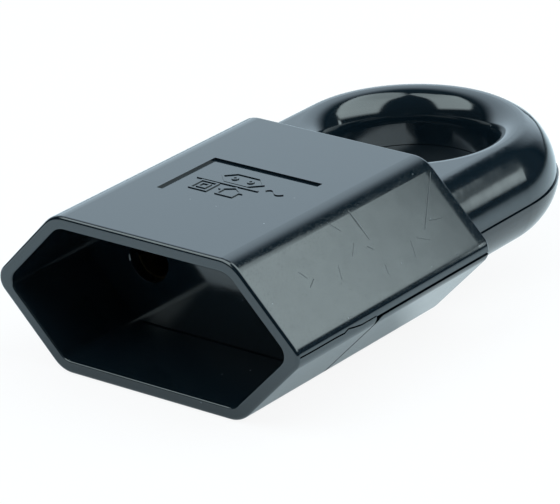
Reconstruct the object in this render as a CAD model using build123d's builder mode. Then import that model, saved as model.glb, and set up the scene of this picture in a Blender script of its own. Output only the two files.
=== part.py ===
"""Two-pin inline power socket with a pull ring: two mouldings screwed together round two rolled contacts."""
import os
from math import cos, hypot, radians, sin, sqrt

from build123d import *

os.makedirs("parts", exist_ok=True)

# Body: a flat hexagon drawn out along Y, its front rim at the low end of Y
pin_pitch = 19.0
body_width = 41.85  # over the sharp side corners
body_height = 18.1
top_flat = 24.0  # between the sharp top corners
bottom_flat = 24.2  # between the sharp bottom corners
body_length = 34.0
side_corner_round = 1.9
top_corner_round = 3.6
bottom_corner_round = 3.2
rim_round = 0.42
rear_round = 0.5

# Plug recess
shroud_wall = 1.45
recess_depth = 12.25
recess_side_round = 1.5
recess_top_round = 2.4
recess_bottom_round = 1.8
mouth_round = 0.2
partition = 1.4
pin_hole_radius = 2.65
pin_hole_chamfer = 0.1

# Pull ring: a rounded bar with a round finger hole
ring_setback = 47.15  # hole's centre behind the front rim
finger_radius = 9.4
hole_wall = 2.6  # upright part of the hole's wall on each side of the parting
ring_crest = 12.3
shell_ring_radius = 16.43
shell_ring_height = 5.95  # crest above the body's middle
shell_ring_fullness = 1.85
cover_ring_radius = 16.65  # the lower half stands a little proud
cover_ring_height = 5.65
cover_ring_fullness = 1.75
ring_wall = 1.6

# Cord channel in the ring and its inlet at the far end
channel_width = 2.8
channel_height = 3.2
inlet_radius = 3.4

# Parting between the two mouldings
parting_drop = 0.15  # below the body's middle
side_gap = 0.36
ring_gap = 0.1
seam_gap = 0.1
seam_round = 0.25  # on the shroud's edge at the seam
cover_nose_round = 1.1
lip_thickness = 0.7
lip_clearance = 0.3
lip_rise = 0.1  # above the body's middle
lip_root = 1.5  # below the body's middle

# Chamber behind the partition
chamber_wall = 1.7
chamber_side_round = 0.2
chamber_flat_round = 1.5
rib_thickness = 1.4
rib_root = 1.6  # where ribs end, below the outer skin
rib_width = 6.6
front_rib_inset = 2.0  # behind the sleeve's front end
rear_rib_inset = 1.6  # ahead of the sleeve's rear end
cover_rib_drop = 1.0  # cover ribs' tops below the body's middle
shell_rib_rise = 1.2  # shell ribs' ends above the body's middle

# Sunk label field on the top
field_width = 14.6
field_length = 10.0
field_setback = 16.75  # its middle behind the front rim
field_depth = 0.24
field_corner = 0.12

# Contacts: brass strip rolled round the pin, with a flat terminal wing
pin_radius = 2.4
pin_clearance = 0.05
strip = 0.75
sleeve_slit = 0.8
contact_play = 0.05
wing_rise = 0.25  # wing's underside above the body's middle
wing_overlap = 0.5  # wing's inner edge inside the sleeve's outer skin
wing_start = 3.4  # behind the sleeve's front end
tab_side = 4.2
tab_room = 2.75  # behind the wing's square tab
stop_room = 0.1  # between the sleeve's end stop and the tab
stop_inset = 0.3  # stop's edge inside the wing

# Terminal screws and square clamp washers
terminal_radius = 1.25
terminal_length = 4.0
terminal_head_radius = 1.95
terminal_head_height = 1.5
terminal_inset = 4.4  # inside the chamber's side corner
thread_play = 0.03
washer_side = 4.0
washer_thickness = 0.6
washer_play = 0.15
terminal_boss_radius = 2.4
terminal_boss_height = 2.9
tip_room = 0.3

# Cover screws, their counterbores, bosses and moulded-in bushes
screw_radius = 1.5
screw_length = 10.0
screw_head_radius = 2.75
screw_head_height = 2.0
screw_sink = 0.4  # head below the underside
screw_play = 0.2
head_play = 0.25
head_chamfer = 0.35
slot_width = 0.7
slot_depth = 0.8
boss_radius = 4.0
boss_root = 0.9
bush_radius = 2.3
bush_length = 5.5
bush_groove = 0.35
front_screw_inset = 4.3  # behind the partition
rear_screw_inset = 3.9  # ahead of the rear wall

# Places that follow from the sizes above
half_width = body_width / 2
half_top = top_flat / 2
half_bottom = bottom_flat / 2
mid_z = body_height / 2
slant = (half_width - half_top) / mid_z  # run of an upper slanted side for each unit of height
chamber_half_width = half_width - chamber_wall * hypot(1, slant)
inlet_reach = sqrt(cover_ring_radius**2 - inlet_radius**2 + (ring_gap / 2) ** 2)
length = ring_setback + inlet_reach  # to the inlet's edges
front_y = -length / 2
rear_y = front_y + body_length
ring_y = front_y + ring_setback
recess_y = front_y + recess_depth
seam_y = recess_y + partition
chamber_end_y = rear_y - chamber_wall
parting_z = mid_z - parting_drop
cover_side_z = parting_z - side_gap
cover_ring_z = parting_z - ring_gap
inlet_z = parting_z - ring_gap / 2
channel_inner = finger_radius + ring_wall
channel_outer = channel_inner + channel_width
pin_x = pin_pitch / 2
sleeve_bore = pin_radius + pin_clearance
sleeve_radius = sleeve_bore + strip
terminal_x = chamber_half_width - terminal_inset
terminal_y = chamber_end_y - tab_room - tab_side / 2
wing_inner = pin_x + sleeve_radius - wing_overlap
wing_outer = terminal_x + tab_side / 2
stop_y = terminal_y - tab_side / 2 - stop_room - rib_thickness
stop_notch = sleeve_bore + strip / 2
sleeve_y = seam_y + contact_play
sleeve_end_y = stop_y - contact_play
wing_y = sleeve_y + wing_start
rib_places = (sleeve_y + front_rib_inset, sleeve_end_y - rear_rib_inset - rib_thickness)
wing_z = mid_z + wing_rise
washer_z = wing_z - washer_thickness
head_seat_z = screw_sink + screw_head_height
ring_axis = Axis((0, ring_y, 0), (0, 0, 1))
screw_places = [(0, seam_y + front_screw_inset), (0, chamber_end_y - rear_screw_inset)]
terminal_places = [(side * terminal_x, terminal_y) for side in (-1, 1)]
pin_places = [(side * pin_x, mid_z) for side in (-1, 1)]
over = 1.0  # how far a cutter runs past the skin


def section_at(y):
    """Upright plane across the body at y, with X across and Z up."""
    return Plane.XZ.offset(-y)


def body_outline(y, inset, side_round, top_round, bottom_round):
    """Hexagon moved in by inset, with its corners rounded."""
    corners = [(half_width, mid_z), (half_top, body_height), (-half_top, body_height)]
    corners += [(-half_width, mid_z), (-half_bottom, 0), (half_bottom, 0)]
    with BuildSketch(section_at(y)) as outline:
        with BuildLine():
            Polyline(*corners, close=True)
        make_face()
        if inset:
            offset(amount=-inset, kind=Kind.INTERSECTION, mode=Mode.REPLACE)
        fillet(outline.vertices().group_by(Axis.Y)[1], radius=side_round)
        fillet(outline.vertices().group_by(Axis.Y)[-1], radius=top_round)
        fillet(outline.vertices().group_by(Axis.Y)[0], radius=bottom_round)
    return outline.sketch


def chamber():
    """Hollow for the contacts behind the partition."""
    hollow = body_outline(
        seam_y,
        chamber_wall,
        chamber_side_round,
        chamber_flat_round,
        chamber_flat_round,
    )
    extrude(hollow, amount=seam_y - chamber_end_y, mode=Mode.SUBTRACT)


def outer_body(moulding):
    """Whole outside of the hexagonal body, with its rim and rear edges rounded."""
    skin = body_outline(front_y, 0, side_corner_round, top_corner_round, bottom_corner_round)
    extrude(skin, amount=-body_length)
    fillet(moulding.edges().group_by(Axis.Y)[0], radius=rim_round)
    fillet(moulding.edges().group_by(Axis.Y)[-1], radius=rear_round)


def keep_out(x, y, z):
    """Cut away a box between two corners given as pairs."""
    with Locations(((x[0] + x[1]) / 2, (y[0] + y[1]) / 2, (z[0] + z[1]) / 2)):
        Box(x[1] - x[0], y[1] - y[0], z[1] - z[0], mode=Mode.SUBTRACT)


def ring_half(base_z, radius, height, fullness, up):
    """Half of the pull ring on one side of the parting: rounded bar, finger hole and cord channel."""
    reach = radius - ring_crest
    angles = [radians(15 * step) for step in range(1, 6)]
    edge = [(radius, base_z)]
    edge += [
        (ring_crest + reach * cos(a) ** (2 / fullness), base_z + up * height * sin(a) ** (2 / fullness))
        for a in angles
    ]
    edge += [(ring_crest, base_z + up * height)]
    far_edge = [(-x, z) for x, z in edge]
    with BuildSketch(section_at(rear_y - over)) as legs:
        with BuildLine():
            Spline(*edge, tangents=((0, up), (-1, 0)))
            Line(edge[-1], far_edge[-1])
            Spline(*far_edge, tangents=((0, up), (1, 0)))
            Line(far_edge[0], edge[0])
        make_face()
    extrude(legs.sketch, amount=-(ring_y - rear_y + over))
    with BuildSketch(section_at(ring_y)) as bow:
        with BuildLine():
            Spline(*edge, tangents=((0, up), (-1, 0)))
            Polyline(edge[-1], (0, base_z + up * height), (0, base_z), edge[0])
        make_face()
    revolve(bow.sketch, axis=ring_axis, revolution_arc=180)


def ring_hollows(base_z, height, up):
    """Finger hole with its rounded edge, cord channel, legs of the channel, and inlet."""
    top_z = base_z + up * height
    wall_z = base_z + up * hole_wall
    with BuildSketch(section_at(ring_y)) as hole:
        with BuildLine():
            Polyline((0, base_z - up * over), (finger_radius, base_z - up * over), (finger_radius, wall_z))
            EllipticalCenterArc(
                (ring_crest, wall_z),
                ring_crest - finger_radius,
                height - hole_wall,
                start_angle=90 if up > 0 else 180,
                arc_size=90,
            )
            Polyline((ring_crest, top_z), (ring_crest, top_z + up * over), (0, top_z + up * over))
            Line((0, top_z + up * over), (0, base_z - up * over))
        make_face()
    revolve(hole.sketch, axis=ring_axis, revolution_arc=360, mode=Mode.SUBTRACT)
    for side in (-1, 1):
        with BuildSketch(section_at(ring_y)) as channel:
            with Locations((side * (channel_inner + channel_outer) / 2, base_z)):
                Rectangle(channel_width, 2 * channel_height)
        extrude(channel.sketch, amount=ring_y - chamber_end_y + over, mode=Mode.SUBTRACT)
    revolve(channel.sketch, axis=ring_axis, revolution_arc=180, mode=Mode.SUBTRACT)
    with BuildSketch(section_at(ring_y + channel_outer - over)) as inlet:
        with Locations((0, inlet_z)):
            Circle(inlet_radius)
    extrude(inlet.sketch, amount=-(cover_ring_radius - channel_outer + 2 * over), mode=Mode.SUBTRACT)


def ribs(y, width, z_low, z_high, notch):
    """Pair of upright ribs across the contacts, notched round each sleeve."""
    with BuildSketch(section_at(y)) as walls:
        with Locations(*[(x, (z_low + z_high) / 2) for x, z in pin_places]):
            Rectangle(width, z_high - z_low)
        with Locations(*pin_places):
            Circle(notch, mode=Mode.SUBTRACT)
    extrude(walls.sketch, amount=-rib_thickness)


def turned_bushes(mode):
    """Grooved round bushes in the shell's bosses, or the places they fill."""
    groove_z = parting_z + bush_length / 2
    for x, y in screw_places:
        with BuildSketch(section_at(y)) as bush:
            with BuildLine():
                Polyline(
                    (0, parting_z),
                    (bush_radius, parting_z),
                    (bush_radius, groove_z - bush_groove),
                    (bush_radius - bush_groove, groove_z - bush_groove),
                    (bush_radius - bush_groove, groove_z + bush_groove),
                    (bush_radius, groove_z + bush_groove),
                    (bush_radius, parting_z + bush_length),
                    (0, parting_z + bush_length),
                    close=True,
                )
            make_face()
        revolve(bush.sketch, axis=Axis((x, y, 0), (0, 0, 1)), mode=mode)


def rolled_strip(side):
    """Split sleeve round one pin, with a terminal wing on its outer side."""
    with BuildSketch(section_at(sleeve_y)) as roll:
        with Locations((side * pin_x, mid_z)):
            Circle(sleeve_radius)
            Circle(sleeve_bore, mode=Mode.SUBTRACT)
        with Locations((side * (pin_x + sleeve_radius), wing_z - sleeve_slit / 2)):
            Rectangle(2 * sleeve_bore, sleeve_slit, mode=Mode.SUBTRACT)
    extrude(roll.sketch, amount=sleeve_y - sleeve_end_y)
    with BuildSketch(Plane.XY.offset(wing_z)) as wing:
        with Locations((side * (wing_inner + wing_outer) / 2, (wing_y + terminal_y) / 2)):
            Rectangle(wing_outer - wing_inner, terminal_y - wing_y)
        with Locations((side * terminal_x, terminal_y)):
            Rectangle(tab_side, tab_side)
            Circle(terminal_radius + thread_play, mode=Mode.SUBTRACT)
    extrude(wing.sketch, amount=strip)


def slotted_screws(screws, places, seat_z, shank, shank_length, head, head_height):
    """Cheese-head screws standing with their heads below seat_z."""
    crown = Plane.XY.offset(seat_z - head_height)
    with BuildSketch(crown) as heads:
        with Locations(*places):
            Circle(head)
    extrude(heads.sketch, amount=head_height)
    chamfer(screws.edges().group_by(Axis.Z)[0], length=head_chamfer)
    with BuildSketch(Plane.XY.offset(seat_z)) as shanks:
        with Locations(*places):
            Circle(shank)
    extrude(shanks.sketch, amount=shank_length)
    with BuildSketch(crown) as slots:
        with Locations(*places):
            Rectangle(2 * head + over, slot_width)
    extrude(slots.sketch, amount=slot_depth, mode=Mode.SUBTRACT)


# Upper shell: whole shroud, partition, upper half of the rear body and of the ring
with BuildPart() as upper_shell:
    outer_body(upper_shell)
    keep_out((-half_width, half_width), (seam_y, rear_y + over), (-over, parting_z))
    step = upper_shell.edges().filter_by_position(Axis.Y, seam_y, seam_y).sort_by(Axis.Z)
    fillet(step[:-1], radius=seam_round)
    shell_height = shell_ring_height + parting_drop
    ring_half(parting_z, shell_ring_radius, shell_height, shell_ring_fullness, 1)
    recess = body_outline(
        front_y,
        shroud_wall,
        recess_side_round,
        recess_top_round,
        recess_bottom_round,
    )
    extrude(recess, amount=-recess_depth, mode=Mode.SUBTRACT)
    chamber()
    ring_hollows(parting_z, shell_height, 1)
    rib_top_z = body_height - rib_root
    rib_end_z = mid_z + shell_rib_rise
    for rib_y in rib_places:
        ribs(rib_y, rib_width, rib_end_z, rib_top_z, sleeve_radius + contact_play)
    stop_width = 2 * (wing_inner - pin_x - stop_inset)
    ribs(stop_y, stop_width, parting_z, rib_top_z, stop_notch)
    with BuildSketch(Plane.XY.offset(parting_z)):
        with Locations(*screw_places):
            Circle(boss_radius)
    extrude(amount=body_height - boss_root - parting_z)
    with BuildSketch(Plane.XY.offset(wing_z + strip)):
        with Locations(*terminal_places):
            Circle(terminal_boss_radius)
    extrude(amount=terminal_boss_height)
    with BuildSketch(Plane.XY.offset(wing_z)):
        with Locations(*terminal_places):
            Circle(terminal_radius + washer_play)
    extrude(amount=washer_z + terminal_length + tip_room - wing_z, mode=Mode.SUBTRACT)
    turned_bushes(Mode.SUBTRACT)
    with BuildSketch(section_at(recess_y - over)):
        with Locations(*pin_places):
            Circle(pin_hole_radius)
    extrude(amount=-(partition + 2 * over), mode=Mode.SUBTRACT)
    for x, z in pin_places:
        with Locations(Location((x, recess_y + pin_hole_chamfer / 2, z), (90, 0, 0))):
            Cone(
                pin_hole_radius,
                pin_hole_radius + pin_hole_chamfer,
                pin_hole_chamfer,
                mode=Mode.SUBTRACT,
            )
    with BuildSketch(Plane.XY.offset(body_height)) as field:
        with Locations((0, front_y + field_setback)):
            Rectangle(field_width, field_length)
        fillet(field.vertices(), radius=field_corner)
    extrude(amount=-field_depth, mode=Mode.SUBTRACT)
    rim = upper_shell.faces().sort_by(Axis.Y)[0]
    fillet(rim.inner_wires()[0].edges(), radius=mouth_round)
upper_shell.part.label = "upper_shell"
export_step(upper_shell.part, "parts/upper_shell.step")

# Lower cover: lower half of the rear body and of the ring
with BuildPart() as lower_cover:
    outer_body(lower_cover)
    keep_out((-half_width, half_width), (front_y - over, seam_y + seam_gap), (-over, body_height + over))
    keep_out((-half_width, half_width), (front_y, rear_y + over), (cover_side_z, body_height + over))
    cover_height = cover_ring_z - (mid_z - cover_ring_height)
    ring_half(cover_ring_z, cover_ring_radius, cover_height, cover_ring_fullness, -1)
    chamber()
    ring_hollows(cover_ring_z, cover_height, -1)
    nose = lower_cover.edges().filter_by(Axis.X).group_by(Axis.Y)[0].group_by(Axis.Z)[-1]
    fillet(nose, radius=cover_nose_round)
    for rib_y in rib_places:
        ribs(rib_y, rib_width, rib_root, mid_z - cover_rib_drop, sleeve_radius + contact_play)
    lip_y = (seam_y + seam_gap + cover_nose_round, chamber_end_y)
    for side in (-1, 1):
        lip_x = side * (chamber_half_width - lip_clearance - lip_thickness / 2)
        with Locations((lip_x, sum(lip_y) / 2, mid_z + (lip_rise - lip_root) / 2)):
            Box(lip_thickness, lip_y[1] - lip_y[0], lip_rise + lip_root)
    with BuildSketch(Plane.XY.offset(boss_root)):
        with Locations(*screw_places):
            Circle(boss_radius)
    extrude(amount=parting_z - boss_root)
    with BuildSketch():
        with Locations(*screw_places):
            Circle(screw_radius + screw_play)
    extrude(amount=body_height, mode=Mode.SUBTRACT)
    with BuildSketch():
        with Locations(*screw_places):
            Circle(screw_head_radius + head_play)
    extrude(amount=head_seat_z, mode=Mode.SUBTRACT)
lower_cover.part.label = "lower_cover"
export_step(lower_cover.part, "parts/lower_cover.step")

# Contacts, left and right of the middle
with BuildPart() as contact_left:
    rolled_strip(-1)
contact_left.part.label = "contact_left"
export_step(contact_left.part, "parts/contact_left.step")

with BuildPart() as contact_right:
    rolled_strip(1)
contact_right.part.label = "contact_right"
export_step(contact_right.part, "parts/contact_right.step")

# Square washers that clamp the cores to the wings
with BuildPart() as clamp_washers:
    with BuildSketch(Plane.XY.offset(washer_z)):
        with Locations(*terminal_places):
            Rectangle(washer_side, washer_side)
            Circle(terminal_radius + washer_play, mode=Mode.SUBTRACT)
    extrude(amount=washer_thickness)
clamp_washers.part.label = "clamp_washers"
export_step(clamp_washers.part, "parts/clamp_washers.step")

# Terminal screws, heads towards the cover
with BuildPart() as terminal_screws:
    slotted_screws(
        terminal_screws,
        terminal_places,
        washer_z,
        terminal_radius,
        terminal_length,
        terminal_head_radius,
        terminal_head_height,
    )
terminal_screws.part.label = "terminal_screws"
export_step(terminal_screws.part, "parts/terminal_screws.step")

# Brass bushes moulded into the shell's bosses
with BuildPart() as threaded_inserts:
    turned_bushes(Mode.ADD)
    with BuildSketch(Plane.XY.offset(parting_z)):
        with Locations(*screw_places):
            Circle(screw_radius + thread_play)
    extrude(amount=bush_length, mode=Mode.SUBTRACT)
threaded_inserts.part.label = "threaded_inserts"
export_step(threaded_inserts.part, "parts/threaded_inserts.step")

# Cover screws, driven from below
with BuildPart() as cover_screws:
    slotted_screws(
        cover_screws,
        screw_places,
        head_seat_z,
        screw_radius,
        screw_length,
        screw_head_radius,
        screw_head_height,
    )
cover_screws.part.label = "cover_screws"
export_step(cover_screws.part, "parts/cover_screws.step")
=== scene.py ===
"""Studio view of a black two-pin inline socket with a pull ring."""
from math import cos, degrees, hypot, pi, radians, sin

import bmesh
import bpy
from mathutils import Matrix, Vector


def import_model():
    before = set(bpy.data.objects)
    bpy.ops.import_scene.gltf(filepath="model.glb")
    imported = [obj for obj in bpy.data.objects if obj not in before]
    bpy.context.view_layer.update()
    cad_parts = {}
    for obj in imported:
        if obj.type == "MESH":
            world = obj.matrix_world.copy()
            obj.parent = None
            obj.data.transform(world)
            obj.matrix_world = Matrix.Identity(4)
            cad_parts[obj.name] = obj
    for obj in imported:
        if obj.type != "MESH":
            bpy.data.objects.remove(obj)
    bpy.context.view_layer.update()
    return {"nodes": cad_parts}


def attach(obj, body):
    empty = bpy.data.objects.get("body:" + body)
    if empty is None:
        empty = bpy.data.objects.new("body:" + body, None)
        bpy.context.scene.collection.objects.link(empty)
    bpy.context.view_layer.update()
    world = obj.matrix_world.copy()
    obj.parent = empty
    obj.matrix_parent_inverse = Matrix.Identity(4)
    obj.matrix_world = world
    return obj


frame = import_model()
MM = 0.001

# Camera, as fitted to the photograph
CAMERA_PLACE = (0.25041, -0.32048, 0.17687)
CAMERA_RIGHT = (0.79050, 0.61086, -0.04423)
CAMERA_UP = (-0.20567, 0.33279, 0.92030)
CAMERA_BACK = (0.57689, -0.71840, 0.38870)
SENSOR_WIDTH = 36.0
FOCAL_LENGTH = 257.82

# Studio: places are given by azimuth and elevation in degrees, as seen from the ring
LIGHT_EYE = Vector((0.0, 0.024, 0.010))
LIGHT_DISTANCE = 0.55
# Rows of a softbox from below upwards: left azimuth and elevation, right ones, brightness
RIGHT_SOFTBOX = (
    (41.5, 17, 105, 17, 0.0),
    (37.5, 24.5, 106, 24.5, 1.0),
    (29.2, 33.5, 107, 33.5, 1.06),
    (25.1, 41, 108, 41, 1.06),
    (20.5, 46, 109, 46, 1.04),
    (-14, 59, 112, 62, 1.0),
    (-16, 71, 128, 74, 0.8),
    (-60, 89, 165, 86, 0.8),
)
LOW_PANEL = (
    (40.3, 3.5, 44.4, 3.5, 0.03),
    (39.8, 7.5, 44.2, 7.5, 0.78),
    (39.0, 12, 43.6, 12, 1.0),
    (38.0, 16, 42.3, 16, 0.9),
    (37.2, 19, 41.0, 19, 0.22),
    (35.0, 23, 38.6, 23, 0.10),
    (32.5, 27, 36.0, 27, 0.05),
)
LEFT_SOFTBOX = (
    (184, 24, 236, 28.5, 0.2),
    (183, 30, 240, 33.5, 1.0),
    (182, 45, 251, 45, 1.0),
    (181, 62, 265, 62, 1.0),
    (172, 74, 245, 74, 0.8),
    (150, 86, 310, 89, 0.7),
)
# Brightness across a softbox, at shares of the way from its left edge to its right one
SOFT_EDGES = (
    (0, 0.05), (0.03, 0.7), (0.08, 1), (0.25, 1), (0.42, 1),
    (0.58, 1), (0.75, 1), (0.92, 1), (0.97, 0.7), (1, 0.05),
)
EVEN = ((0, 1), (1, 1))
SOFTBOX_COLOUR = (0.82, 0.98, 1.0)
SOFTBOX_RADIANCE = 3.2
BACKDROP_AZIMUTH = (-105, 15)
BACKDROP_ELEVATION = (-6, 66)
BACKDROP_GRID = (40, 24)
BACKDROP_DISTANCE = 0.60
# Pool of light on the backdrop: its middle, and how far from it the light begins to fade and is gone
BACKDROP_MIDDLE = (-45, 15)
BACKDROP_FADE = (28, 55)
BACKDROP_COLOUR = (0.71, 0.88, 1.0)
BACKDROP_RADIANCE = 1.52
ROOM_RADIUS = 1.2
ROOM_GRID = (24, 12)
ROOM_RADIANCE = 0.03

# Floor, in metres
FLOOR_RADIUS = 0.40
FLOOR_CORNERS = 96
FLOOR_DROP = 0.00004
FLOOR_COLOUR = (0.88, 0.93, 0.99)
FLOOR_ROUGHNESS = 0.9
FLOOR_SPECULAR = 0.1
# Share of plain white in what the camera sees of the floor; the rest keeps the shadow
FLOOR_WHITE = 0.9
# Painted light on the floor, seen only in reflections, where they show it without its shadow: line under the
# body or beside the ring, reach, share
PAINTED_FLOOR_LIGHT = (
    ((0.0, -0.022, 0.0), (0.0, 0.0, 0.0), 0.034, 0.34),
    ((0.016, 0.010, 0.0), (0.018, 0.030, 0.0), 0.020, 0.95),
)
PAINTED_FLOOR_LIGHT_COLOUR = (0.79, 0.94, 1.0)
# Painted shade, seen only in reflections: the floor darkens towards the far right, by its distance from a
# spot at the near left
FADE_CENTRE = (-0.03, -0.09, 0.0)
FLOOR_FADE = (0.13, 0.30)
PAINTED_FLOOR_SHADE = (0.02, 0.02, 0.02)
# Painted shade, also seen only in reflections, dims the floor under the finger hole, up to where the body's
# lower face mirrors it
HOLE_CENTRE = (-0.004, 0.013, 0.0)
HOLE_SHADE = (0.0135, 0.0155)
HOLE_DARKNESS = 0.6

# Body, in millimetres: half widths at middle, top and bottom, heights, rounding of the side corners
HALF_WIDTH = 20.925
HALF_TOP = 12.0
HALF_BOTTOM = 12.1
MIDDLE = 9.05
BODY_TOP = 18.1
SIDE_ROUND = 1.9

# Plug recess, in millimetres: its mouth and end along Y, its floor's height and half width
RECESS_FRONT = -31.4
RECESS_END = -19.475
RECESS_FLOOR = 1.45
RECESS_HALF = 10.8
# What counts as its walls: depth under the slanted faces, slack above and below, distance from the end
WALL_DEPTH = 1.2
WALL_SLACK = 0.3
WALL_END = 0.15

# Marks in the sunk label field, in millimetres: places from the field's middle, half sizes
FIELD_CENTRE = (0.0, -14.975)
FIELD_FLOOR = 17.86
MARK_WIDTH = 0.24
MARK_HEIGHT = 0.10
MARK_ROOT = 0.02
SHARPEST_MITRE = 0.5
SOCKET_PLACE = (-0.9, 1.75)
SOCKET_HALF = (2.75, 1.2)
SOCKET_PIN_PLACE = 1.05
SOCKET_PIN_RADIUS = 0.3
SOCKET_PIN_CORNERS = 16
BAR = ((-5.7, 0.1), (2.4, 0.1))
SQUARES_PLACE = (-3.6, -1.55)
SQUARES_HALF = (1.1, 0.5)
HOUSE_PLACE = (-0.1, -1.5)
HOUSE_HALF = (1.4, 1.1)
AC_START = (2.9, 0.75)
AC_LENGTH = 2.4
AC_HEIGHT = 0.4
AC_STEPS = 20
# Corners of the marks, in shares of their half sizes
HEXAGON = ((-1, 0), (-0.55, -1), (0.55, -1), (1, 0), (0.55, 1), (-0.55, 1))
SQUARE = ((-1, -1), (1, -1), (1, 1), (-1, 1))
HOUSE = ((-0.75, -1), (0.75, -1), (0.75, 0.1), (1, 0.1), (0, 1), (-1, 0.1), (-0.75, 0.1))

# Thin dark ribbons of painted shade, in millimetres. Mould line on the shroud's sides, drawn as a painted
# shadow line: places along Y, heights over the middle
MOULD_LINE = (
    (-31.3, 0.12), (-29.3, 0.08), (-25.2, 0.08), (-23.8, 0.03),
    (-23.1, 0.26), (-22.3, 0.1), (-20.8, -0.13), (-18.3, -0.12),
)
MOULD_LINE_STEPS = 6
MOULD_LINE_WIDTH = 0.18
LINE_RISE = 0.002
# Painted shade line along the recess's far lower edge
RECESS_LINE_STEPS = 12
RECESS_LINE_WIDTH = 0.13
# Painted shadow in the gap between the two mouldings, half way through the rear wall
GAP_PLACE = 1.5
GAP_HALF = 17.0
GAP_HEIGHTS = (8.5, 8.95)

# Black plastic
PLASTIC_COLOUR = (0.0042, 0.0092, 0.0138)
PLASTIC_IOR = 1.66
PLASTIC_ROUGHNESS = (0.07, 0.11)
RECESS_ROUGHNESS = 0.18
WORN_ROUGHNESS = 0.5
# Clouds of duller skin, and the skin's waves and grain: size of the pattern per millimetre, height in metres
CLOUD_SCALE = 0.4
CLOUD_RANGE = (0.3, 0.7)
WAVE_SCALE = 0.28
WAVE_RISE = 5e-6
GRAIN_SCALE = 6.0
GRAIN_RISE = 8e-8
# Rare specks of dust: cells per millimetre, where in a cell a speck fades, which cells have one
DUST_COLOUR = (0.20, 0.22, 0.24)
DUST_SCALE = 0.55
DUST_REACH = (0.02, 0.05)
DUST_CHANCE = (0.70, 0.72)
# Wear on the right slanted face: lines between two places along Y and Z, half width, in millimetres
SCRATCHES = (
    ((-12.9, 17.2), (-12.9, 15.6), 0.13),
    ((-12.9, 15.6), (-12.9, 14.6), 0.06),
    ((1.2, 16.8), (-4.9, 13.2), 0.06),
    ((-16.6, 17.2), (-15.7, 16.2), 0.05),
    ((-3.6, 13.6), (-1.6, 13.3), 0.03),
    ((-6.7, 12.9), (-5.3, 12.3), 0.03),
    ((-23.3, 14.0), (-24.4, 13.6), 0.06),
    ((-24.5, 15.0), (-24.0, 14.3), 0.05),
    ((-15.2, 14.9), (-16.5, 14.1), 0.03),
    ((-13.2, 12.4), (-13.7, 11.6), 0.03),
    ((-7.8, 13.0), (-8.7, 11.7), 0.03),
    ((-19.1, 14.0), (-19.9, 13.0), 0.03),
    ((-13.8, 14.2), (-13.3, 13.8), 0.05),
)
SCRATCH_DEPTH = 4e-6
# Share of a line's half width at which its edge begins to fade
LINE_CORE = 0.4
# Fine scratches: directions, pattern along and across them, where the pattern counts as a scratch
FINE_TURNS = ((0.3, 0.5, 0.2), (1.2, -0.4, 0.9), (-0.6, 0.9, 1.7))
FINE_STRETCH = (0.35, 9.0, 9.0)
FINE_CUT = (0.68, 0.75)
# Their strength on the flat faces and on the slanted ones, and the depth under the latter where it changes
FINE_SHARE = (0.08, 0.45)
FINE_DEPTH = (0.45, 0.15)
# Sunken skin of the slanted faces towards their rear edges: from where, over what length, width of the start
# beside the top, in millimetres, and how deep, in metres
SAG_START = 0.4
SAG_LENGTH = 3.8
SAG_SIDE = 0.8
SAG_DEPTH = 9.6e-5

# Bare metals, and the painted shade of the dark gaps and lines
BRASS = (0.14, 0.10, 0.05)
BRASS_TARNISH = (0.06, 0.045, 0.03)
BRASS_ROUGHNESS = 0.45
STEEL = (0.56, 0.56, 0.57)
STEEL_TARNISH = (0.40, 0.40, 0.42)
STEEL_ROUGHNESS = 0.28
TARNISH_SCALE = 0.9
TARNISH_RANGE = (0.35, 0.75)
BRUSH_STRETCH = (0.8, 14.0, 14.0)
BRUSH_RANGE = (0.3, 0.7)
BRUSH_ROUGHNESS = 0.15
BRUSH_RISE = 4e-7
# Painted shade of the dark ribbons, with grey dust clouded into it
PAINTED_SHADE_COLOUR = (0.003, 0.004, 0.005)
PAINTED_SHADE_DUST = (0.018, 0.020, 0.022)
CREVICE_SCALE = 1.5
CREVICE_RANGE = (0.5, 0.8)


def new_material(name):
    """A node material with its tree and shader."""
    material = bpy.data.materials.new(name)
    material.use_nodes = True
    tree = material.node_tree
    return material, tree, tree.nodes["Principled BSDF"]


def add_node(tree, kind, inputs=None, **settings):
    """A node with its settings and the values or links of its inputs."""
    node = tree.nodes.new(kind)
    for name, value in settings.items():
        setattr(node, name, value)
    for key, value in (inputs or {}).items():
        if isinstance(value, bpy.types.NodeSocket):
            tree.links.new(value, node.inputs[key])
        else:
            node.inputs[key].default_value = value
    return node


def calc(tree, operation, first, second=0.0):
    """Result of one maths node."""
    return add_node(tree, "ShaderNodeMath", {0: first, 1: second}, operation=operation).outputs[0]


def strongest(tree, masks):
    """Highest of several masks."""
    highest = masks[0]
    for mask in masks[1:]:
        highest = calc(tree, "MAXIMUM", highest, mask)
    return highest


def spread(tree, value, low, high, to_low=0.0, to_high=1.0):
    """Value eased from one range to another."""
    inputs = {"Value": value, "From Min": low, "From Max": high, "To Min": to_low, "To Max": to_high}
    return add_node(tree, "ShaderNodeMapRange", inputs, interpolation_type="SMOOTHSTEP").outputs[0]


def mixed(tree, share, first, second):
    """Colour between two others."""
    mix = add_node(tree, "ShaderNodeMix", {"Factor": share}, data_type="RGBA")
    mix.inputs["A"].default_value = (*first, 1)
    mix.inputs["B"].default_value = (*second, 1)
    return mix.outputs["Result"]


def noise(tree, place, scale, detail):
    """Smooth random pattern."""
    inputs = {"Vector": place, "Scale": scale, "Detail": detail}
    return add_node(tree, "ShaderNodeTexNoise", inputs).outputs["Fac"]


def set_bump(tree, shader, height):
    """Gives the skin its relief, with heights in metres."""
    bump = add_node(tree, "ShaderNodeBump", {"Height": height, "Distance": 1.0})
    tree.links.new(bump.outputs[0], shader.inputs["Normal"])


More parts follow.
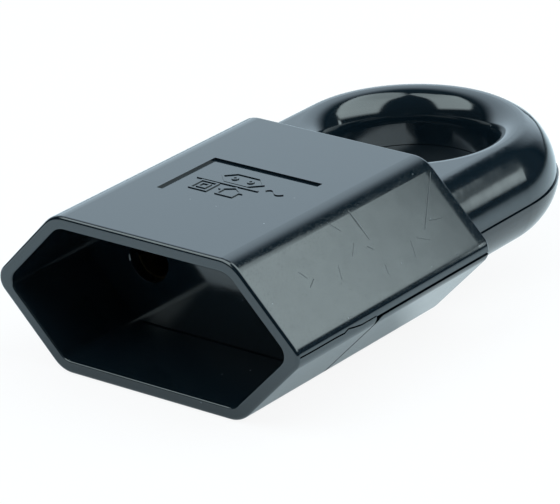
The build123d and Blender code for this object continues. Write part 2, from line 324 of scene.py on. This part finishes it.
def hairline_group():
    """Node group: 1 on the line between two points, falling to 0 at the line's half width."""
    tree = bpy.data.node_groups.new("hairline", "ShaderNodeTree")
    for name, kind in (("Place", "Vector"), ("From", "Vector"), ("To", "Vector"), ("Width", "Float")):
        tree.interface.new_socket(name, in_out="INPUT", socket_type="NodeSocket" + kind)
    tree.interface.new_socket("Mask", in_out="OUTPUT", socket_type="NodeSocketFloat")
    given = tree.nodes.new("NodeGroupInput").outputs
    result = tree.nodes.new("NodeGroupOutput").inputs

    def vector(operation, first, second):
        return add_node(tree, "ShaderNodeVectorMath", {0: first, 1: second}, operation=operation).outputs

    along = vector("SUBTRACT", given["To"], given["From"])[0]
    reach = vector("SUBTRACT", given["Place"], given["From"])[0]
    share = calc(tree, "DIVIDE", vector("DOT_PRODUCT", reach, along)["Value"],
                 vector("DOT_PRODUCT", along, along)["Value"])
    inside = add_node(tree, "ShaderNodeClamp", {"Value": share}).outputs[0]
    foot = add_node(tree, "ShaderNodeVectorMath", {0: along, "Scale": inside}, operation="SCALE").outputs[0]
    gap = calc(tree, "DIVIDE", vector("DISTANCE", reach, foot)["Value"], given["Width"])
    tree.links.new(spread(tree, gap, LINE_CORE, 1.0, 1.0, 0.0), result["Mask"])
    return tree


HAIRLINE = hairline_group()


def hairlines(tree, place, lines):
    """Strongest mask of several lines."""
    masks = []
    for start, end, width in lines:
        inputs = {"Place": place, "From": start, "To": end, "Width": width}
        masks.append(add_node(tree, "ShaderNodeGroup", inputs, node_tree=HAIRLINE).outputs[0])
    return strongest(tree, masks)


def millimetres(tree):
    """Place on the object in millimetres."""
    place = add_node(tree, "ShaderNodeTexCoord").outputs["Object"]
    return add_node(tree, "ShaderNodeVectorMath", {0: place, "Scale": 1 / MM}, operation="SCALE").outputs[0]


def fine_scratches(tree, place):
    """Short faint scratches in several directions."""
    masks = []
    for turn in FINE_TURNS:
        inputs = {"Vector": place, "Rotation": turn, "Scale": FINE_STRETCH}
        streak = add_node(tree, "ShaderNodeMapping", inputs, vector_type="POINT").outputs[0]
        masks.append(spread(tree, noise(tree, streak, 1.0, 1.0), *FINE_CUT))
    return strongest(tree, masks)


def dust(tree, place):
    """Rare tiny specks."""
    inputs = {"Vector": place, "Scale": DUST_SCALE, "Randomness": 1.0}
    cells = add_node(tree, "ShaderNodeTexVoronoi", inputs).outputs
    chance = add_node(tree, "ShaderNodeSeparateColor", {"Color": cells["Color"]}).outputs[0]
    near = spread(tree, cells["Distance"], *DUST_REACH, 1.0, 0.0)
    return calc(tree, "MULTIPLY", near, spread(tree, chance, *DUST_CHANCE))


def off_middle(tree, spot):
    """Height above or below the middle, and how far out a place is across the slanted faces."""
    height = calc(tree, "ABSOLUTE", calc(tree, "SUBTRACT", spot["Z"], MIDDLE))
    lean = (HALF_WIDTH - HALF_TOP) / (BODY_TOP - MIDDLE)
    reach = calc(tree, "ADD", calc(tree, "ABSOLUTE", spot["X"]), calc(tree, "MULTIPLY", height, lean))
    return height, reach


def in_recess(tree, spot):
    """1 on the walls of the plug recess, apart from its end."""
    height, reach = off_middle(tree, spot)
    inside = calc(tree, "LESS_THAN", reach, HALF_WIDTH - WALL_DEPTH)
    off_floor = calc(tree, "LESS_THAN", height, MIDDLE - RECESS_FLOOR + WALL_SLACK)
    behind_rim = calc(tree, "GREATER_THAN", spot["Y"], RECESS_FRONT)
    before_end = calc(tree, "LESS_THAN", spot["Y"], RECESS_END - WALL_END)
    return calc(tree, "MULTIPLY", calc(tree, "MULTIPLY", inside, off_floor),
                calc(tree, "MULTIPLY", behind_rim, before_end))


def sunken_edges(tree, spot):
    """How far the skin of the slanted faces has sunk towards their rear edges."""
    along = spread(tree, spot["Y"], SAG_START, SAG_START + SAG_LENGTH)
    on_body = calc(tree, "LESS_THAN", spot["Y"], SAG_START + SAG_LENGTH / 2)
    on_slant = spread(tree, calc(tree, "ABSOLUTE", spot["X"]), HALF_TOP, HALF_TOP + SAG_SIDE)
    return calc(tree, "MULTIPLY", along, calc(tree, "MULTIPLY", on_body, on_slant))


def slanted(y, z):
    """Place on the right upper slanted face."""
    return (HALF_WIDTH - (HALF_WIDTH - HALF_TOP) * (z - MIDDLE) / (BODY_TOP - MIDDLE), y, z)


def black_plastic(name, is_shell):
    """Glossy black phenolic with an uneven skin, fine scratches and dust; the shell has more wear."""
    material, tree, shader = new_material(name)
    shader.inputs["IOR"].default_value = PLASTIC_IOR
    place = millimetres(tree)
    spot = add_node(tree, "ShaderNodeSeparateXYZ", {0: place}).outputs
    _, reach = off_middle(tree, spot)
    share = spread(tree, reach, *(HALF_WIDTH - depth for depth in FINE_DEPTH), *FINE_SHARE)
    worn = calc(tree, "MULTIPLY", fine_scratches(tree, place), share)
    gloss = spread(tree, noise(tree, place, CLOUD_SCALE, 3.0), *CLOUD_RANGE, *PLASTIC_ROUGHNESS)
    waves = calc(tree, "MULTIPLY", noise(tree, place, WAVE_SCALE, 2.0), WAVE_RISE)
    grain = calc(tree, "MULTIPLY", noise(tree, place, GRAIN_SCALE, 2.0), GRAIN_RISE)
    height = calc(tree, "ADD", waves, grain)
    if is_shell:
        scratches = [(slanted(*start), slanted(*end), width) for start, end, width in SCRATCHES]
        worn = calc(tree, "MAXIMUM", worn, hairlines(tree, place, scratches))
        gloss = calc(tree, "MAXIMUM", gloss, calc(tree, "MULTIPLY", in_recess(tree, spot), RECESS_ROUGHNESS))
        height = calc(tree, "SUBTRACT", height, calc(tree, "MULTIPLY", sunken_edges(tree, spot), SAG_DEPTH))
    specks = dust(tree, place)
    dull = calc(tree, "MULTIPLY", calc(tree, "MAXIMUM", worn, specks), WORN_ROUGHNESS)
    tree.links.new(calc(tree, "MAXIMUM", gloss, dull), shader.inputs["Roughness"])
    tree.links.new(mixed(tree, specks, PLASTIC_COLOUR, DUST_COLOUR), shader.inputs["Base Color"])
    set_bump(tree, shader, calc(tree, "SUBTRACT", height, calc(tree, "MULTIPLY", worn, SCRATCH_DEPTH)))
    return material


def metal(name, colour, tarnish, roughness):
    """Bare metal with a brushed skin and clouded tarnish."""
    material, tree, shader = new_material(name)
    shader.inputs["Metallic"].default_value = 1.0
    place = millimetres(tree)
    cloud = spread(tree, noise(tree, place, TARNISH_SCALE, 5.0), *TARNISH_RANGE)
    tree.links.new(mixed(tree, cloud, colour, tarnish), shader.inputs["Base Color"])
    brushed = add_node(tree, "ShaderNodeMapping", {"Vector": place, "Scale": BRUSH_STRETCH}).outputs[0]
    lines = noise(tree, brushed, 1.0, 3.0)
    rough = spread(tree, lines, *BRUSH_RANGE, roughness, roughness + BRUSH_ROUGHNESS)
    tree.links.new(rough, shader.inputs["Roughness"])
    set_bump(tree, shader, calc(tree, "MULTIPLY", lines, BRUSH_RISE))
    return material


def painted_gap_shade(name):
    """Dull black painted shade for narrow gaps and grooves, with a little grey dust in it."""
    material, tree, shader = new_material(name)
    shader.inputs["Roughness"].default_value = 1.0
    shader.inputs["Specular IOR Level"].default_value = 0.0
    cloud = spread(tree, noise(tree, millimetres(tree), CREVICE_SCALE, 4.0), *CREVICE_RANGE)
    tree.links.new(mixed(tree, cloud, PAINTED_SHADE_COLOUR, PAINTED_SHADE_DUST), shader.inputs["Base Color"])
    return material


def dress(node, material):
    """Gives a CAD node its material."""
    mesh = frame["nodes"][node].data
    mesh.materials.clear()
    mesh.materials.append(material)


def add_object(name, mesh, material):
    """Object of one material in the scene."""
    mesh.materials.append(material)
    piece = bpy.data.objects.new(name, mesh)
    bpy.context.collection.objects.link(piece)
    return piece


def finished(name, form):
    """Mesh of a form that is ready."""
    mesh = bpy.data.meshes.new(name)
    form.to_mesh(mesh)
    form.free()
    return mesh


def field_marks(material):
    """Raised generic marks in the label field: socket outline, bar, nested squares, house and AC sign."""
    form = bmesh.new()
    root, top = FIELD_FLOOR - MARK_ROOT, FIELD_FLOOR + MARK_HEIGHT

    def stroke(path, closed=False):
        points = [Vector(FIELD_CENTRE) + Vector(point) for point in path]
        count = len(points)
        ribs = []
        for k, point in enumerate(points):
            before = points[k - 1] if closed or k else point
            after = points[(k + 1) % count] if closed or k < count - 1 else point
            come, go = (point - before), (after - point)
            come, go = (come or go).normalized(), (go or come).normalized()
            side = Vector((-come.y - go.y, come.x + go.x)).normalized()
            mitre = max(SHARPEST_MITRE, side.dot(Vector((-come.y, come.x))))
            reach = MARK_WIDTH / 2 / mitre * side
            ribs.append([
                form.verts.new((MM * (point.x + reach.x * u), MM * (point.y + reach.y * u), MM * z))
                for u, z in ((1, root), (1, top), (-1, top), (-1, root))
            ])
        for k in range(count if closed else count - 1):
            first, second = ribs[k], ribs[(k + 1) % count]
            for i in range(3):
                form.faces.new((first[i], first[i + 1], second[i + 1], second[i]))
        if not closed:
            form.faces.new(ribs[0][::-1])
            form.faces.new(ribs[-1])

    def outline(centre, half_width, half_height, corners):
        stroke([(centre[0] + half_width * u, centre[1] + half_height * v) for u, v in corners], True)

    angles = [2 * pi * k / SOCKET_PIN_CORNERS for k in range(SOCKET_PIN_CORNERS)]
    circle = [(cos(angle), sin(angle)) for angle in angles]
    outline(SOCKET_PLACE, *SOCKET_HALF, HEXAGON)
    for side in (-1, 1):
        pin = (SOCKET_PLACE[0] + SOCKET_PIN_PLACE * side, SOCKET_PLACE[1])
        outline(pin, SOCKET_PIN_RADIUS, SOCKET_PIN_RADIUS, circle)
    stroke(BAR)
    for half in SQUARES_HALF:
        outline(SQUARES_PLACE, half, half, SQUARE)
    outline(HOUSE_PLACE, *HOUSE_HALF, HOUSE)
    stroke([
        (AC_START[0] + AC_LENGTH * k / AC_STEPS, AC_START[1] + AC_HEIGHT * sin(2 * pi * k / AC_STEPS))
        for k in range(AC_STEPS + 1)
    ])
    bmesh.ops.recalc_face_normals(form, faces=form.faces)
    marks = add_object("field_marks", finished("field_marks", form), material)
    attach(marks, "root")


def side_skin(z):
    """Half width of the shroud on its rounded side corner, at a height over the middle."""
    lean = (HALF_WIDTH - (HALF_TOP + HALF_BOTTOM) / 2) / MIDDLE
    return HALF_WIDTH - SIDE_ROUND * hypot(1, lean) + (SIDE_ROUND ** 2 - z * z) ** 0.5


def painted_shade_lines(material):
    """Ribbons of painted shade for the shroud's mould lines, the recess's far lower edge and the gap in the
    rear wall.
    """
    form = bmesh.new()

    def ribbon(pairs):
        rows = [[form.verts.new([MM * c for c in point]) for point in pair] for pair in pairs]
        for first, second in zip(rows, rows[1:]):
            form.faces.new((first[0], first[1], second[1], second[0]))

    path = [MOULD_LINE[0]]
    for start, end in zip(MOULD_LINE, MOULD_LINE[1:]):
        for k in range(1, MOULD_LINE_STEPS + 1):
            path.append(Vector(start).lerp(Vector(end), k / MOULD_LINE_STEPS))
    for side in (-1, 1):
        ribbon([
            [(side * (side_skin(z + half) + LINE_RISE), y, MIDDLE + z + half)
             for half in (-MOULD_LINE_WIDTH / 2, MOULD_LINE_WIDTH / 2)]
            for y, z in path
        ])
    ribbon([
        [(RECESS_HALF * k / RECESS_LINE_STEPS, RECESS_END - LINE_RISE, RECESS_FLOOR + height)
         for height in (0.0, RECESS_LINE_WIDTH)]
        for k in range(-RECESS_LINE_STEPS, RECESS_LINE_STEPS + 1)
    ])
    ribbon([[(x, GAP_PLACE, z) for z in GAP_HEIGHTS] for x in (-GAP_HALF, GAP_HALF)])
    lines = add_object("painted_shade_lines", finished("painted_shade_lines", form), material)
    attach(lines, "root")


def stage_mesh(name, points, faces, material):
    """Piece of the studio, which isn't part of the object."""
    mesh = bpy.data.meshes.new(name)
    mesh.from_pydata(points, [], faces)
    piece = add_object(name, mesh, material)
    return piece


def direction(azimuth, elevation):
    """Unit vector; azimuth 0 looks along +Y and 90 along +X."""
    a, e = radians(azimuth), radians(elevation)
    return Vector((sin(a) * cos(e), cos(a) * cos(e), sin(e)))


def between(ends, share):
    """Value at a share of the way from one end to the other."""
    return ends[0] + (ends[1] - ends[0]) * share


def glow(name, colour, radiance, shared=True):
    """Light given off by a studio piece, scaled by its points' own brightness where that is shared."""
    material, tree, _ = new_material(name)
    tree.nodes.clear()
    light = add_node(tree, "ShaderNodeEmission", {"Color": (*colour, 1), "Strength": radiance})
    if shared:
        share = add_node(tree, "ShaderNodeAttribute", attribute_name="brightness").outputs["Fac"]
        tree.links.new(calc(tree, "MULTIPLY", share, radiance), light.inputs["Strength"])
    output = add_node(tree, "ShaderNodeOutputMaterial")
    tree.links.new(light.outputs[0], output.inputs["Surface"])
    return material


def light_sheet(name, rows, brightness, material):
    """Sheet of light through rows of points, hidden from the camera itself."""
    wide = len(rows[0])
    faces = [
        (j * wide + i, j * wide + i + 1, (j + 1) * wide + i + 1, (j + 1) * wide + i)
        for j in range(len(rows) - 1) for i in range(wide - 1)
    ]
    sheet = stage_mesh(name, [point for row in rows for point in row], faces, material)
    sheet.data.attributes.new("brightness", "FLOAT", "POINT").data.foreach_set("value", brightness)
    sheet.visible_camera = False


def softbox(name, rows, across):
    """Bright panel hung between rows of directions."""
    points, brightness = [], []
    for left_azimuth, left_elevation, right_azimuth, right_elevation, share in rows:
        azimuths, elevations = (left_azimuth, right_azimuth), (left_elevation, right_elevation)
        points.append([
            LIGHT_EYE + LIGHT_DISTANCE * direction(between(azimuths, way), between(elevations, way))
            for way, _ in across
        ])
        brightness += [share * level for _, level in across]
    light_sheet(name, points, brightness, glow(name, SOFTBOX_COLOUR, SOFTBOX_RADIANCE))


def backdrop():
    """Curved sheet behind the object with a round soft pool of light on it."""
    columns, rows = BACKDROP_GRID
    inner, outer = BACKDROP_FADE
    middle = direction(*BACKDROP_MIDDLE)
    points, brightness = [], []
    for j in range(rows + 1):
        elevation = between(BACKDROP_ELEVATION, j / rows)
        row = []
        for i in range(columns + 1):
            toward = direction(between(BACKDROP_AZIMUTH, i / columns), elevation)
            row.append(LIGHT_EYE + BACKDROP_DISTANCE * toward)
            fade = (outer - degrees(toward.angle(middle))) / (outer - inner)
            fade = min(max(fade, 0.0), 1.0)
            brightness.append(fade * fade * (3 - 2 * fade))
        points.append(row)
    light_sheet("backdrop", points, brightness, glow("backdrop", BACKDROP_COLOUR, BACKDROP_RADIANCE))


def room():
    """Dark walls around the studio, which only reflections see."""
    columns, rows = ROOM_GRID
    points = [
        ROOM_RADIUS * direction(360 * i / columns, -90 + 180 * j / rows)
        for j in range(rows + 1) for i in range(columns)
    ]
    faces = [
        (j * columns + i, j * columns + (i + 1) % columns,
         (j + 1) * columns + (i + 1) % columns, (j + 1) * columns + i)
        for j in range(rows) for i in range(columns)
    ]
    walls = stage_mesh("room", points, faces, glow("room", BACKDROP_COLOUR, ROOM_RADIANCE, False))
    walls.visible_camera = False


def floor_material():
    """White that keeps a soft shadow; in reflections it holds painted light beside the body and ring, and
    painted shade far off and under the finger hole.
    """
    material, tree, shader = new_material("floor")
    shader.inputs["Roughness"].default_value = FLOOR_ROUGHNESS
    shader.inputs["Specular IOR Level"].default_value = FLOOR_SPECULAR
    path = add_node(tree, "ShaderNodeLightPath").outputs
    mirrored = path["Is Glossy Ray"]
    place = add_node(tree, "ShaderNodeNewGeometry").outputs["Position"]

    def distance(spot):
        apart = add_node(tree, "ShaderNodeVectorMath", {0: place, 1: spot}, operation="DISTANCE")
        return apart.outputs["Value"]

    # Painted shade: in reflections the floor goes dark far off and dim under the finger hole
    far = spread(tree, distance(FADE_CENTRE), *FLOOR_FADE)
    open_floor = spread(tree, distance(HOLE_CENTRE), *HOLE_SHADE)
    in_hole = calc(tree, "SUBTRACT", 1.0, open_floor)
    painted_shade = calc(tree, "MAXIMUM", far, calc(tree, "MULTIPLY", in_hole, HOLE_DARKNESS))
    base = mixed(tree, calc(tree, "MULTIPLY", mirrored, painted_shade), FLOOR_COLOUR, PAINTED_FLOOR_SHADE)
    tree.links.new(base, shader.inputs["Base Color"])
    # Painted light: zones where reflections see the floor glow without its shadow
    zones = [
        calc(tree, "MULTIPLY", hairlines(tree, place, [(start, end, reach)]), part)
        for start, end, reach, part in PAINTED_FLOOR_LIGHT
    ]
    painted_light = calc(tree, "MULTIPLY", calc(tree, "MULTIPLY", mirrored, open_floor), strongest(tree, zones))
    direct = calc(tree, "MAXIMUM", path["Is Camera Ray"], path["Is Transmission Ray"])
    share = calc(tree, "MAXIMUM", painted_light, calc(tree, "MULTIPLY", direct, FLOOR_WHITE))
    # The emission is the plain white the camera sees, and the painted light that reflections see
    tint = mixed(tree, mirrored, (1, 1, 1), PAINTED_FLOOR_LIGHT_COLOUR)
    white_and_painted_light = add_node(tree, "ShaderNodeEmission", {"Color": tint, "Strength": 1.0})
    mix = add_node(tree, "ShaderNodeMixShader", {0: share, 1: shader.outputs[0], 2: white_and_painted_light.outputs[0]})
    tree.links.new(mix.outputs[0], tree.nodes["Material Output"].inputs["Surface"])
    return material


def floor():
    """Round white table top."""
    angles = [2 * pi * k / FLOOR_CORNERS for k in range(FLOOR_CORNERS)]
    rim = [(FLOOR_RADIUS * cos(angle), FLOOR_RADIUS * sin(angle), -FLOOR_DROP) for angle in angles]
    stage_mesh("floor", rim, [tuple(range(FLOOR_CORNERS))], floor_material())


def world():
    """White background behind everything, for what the camera sees, also in reflections and through glass."""
    sky = bpy.data.worlds.new("studio")
    bpy.context.scene.world = sky
    sky.use_nodes = True
    tree = sky.node_tree
    path = add_node(tree, "ShaderNodeLightPath").outputs
    seen = strongest(tree, [path["Is Camera Ray"], path["Is Glossy Ray"], path["Is Transmission Ray"]])
    tree.links.new(seen, tree.nodes["Background"].inputs["Strength"])
    tree.nodes["Background"].inputs["Color"].default_value = (1, 1, 1, 1)


def camera():
    """Camera at the photograph's place."""
    data = bpy.data.cameras.new("camera")
    data.sensor_width = SENSOR_WIDTH
    data.lens = FOCAL_LENGTH
    view = bpy.data.objects.new("camera", data)
    bpy.context.collection.objects.link(view)
    axes = Matrix((CAMERA_RIGHT, CAMERA_UP, CAMERA_BACK)).transposed().to_4x4()
    view.matrix_world = Matrix.Translation(CAMERA_PLACE) @ axes
    bpy.context.scene.camera = view


camera()
floor()
room()
backdrop()
softbox("softbox_right", RIGHT_SOFTBOX, SOFT_EDGES)
softbox("low_panel", LOW_PANEL, EVEN)
softbox("softbox_left", LEFT_SOFTBOX, SOFT_EDGES)
world()
shell = black_plastic("shell_plastic", is_shell=True)
cover = black_plastic("cover_plastic", is_shell=False)
brass = metal("contact_brass", BRASS, BRASS_TARNISH, BRASS_ROUGHNESS)
steel = metal("screw_steel", STEEL, STEEL_TARNISH, STEEL_ROUGHNESS)
dress("upper_shell", shell)
dress("lower_cover", cover)
for node in ("contact_left", "contact_right", "threaded_inserts"):
    dress(node, brass)
for node in ("clamp_washers", "terminal_screws", "cover_screws"):
    dress(node, steel)
field_marks(shell)
# Ribbons of painted shade along the mould lines, the recess's far edge and the rear gap
painted_shade_lines(painted_gap_shade("painted_gap_shade"))

bpy.context.scene.view_settings.view_transform = "Standard"
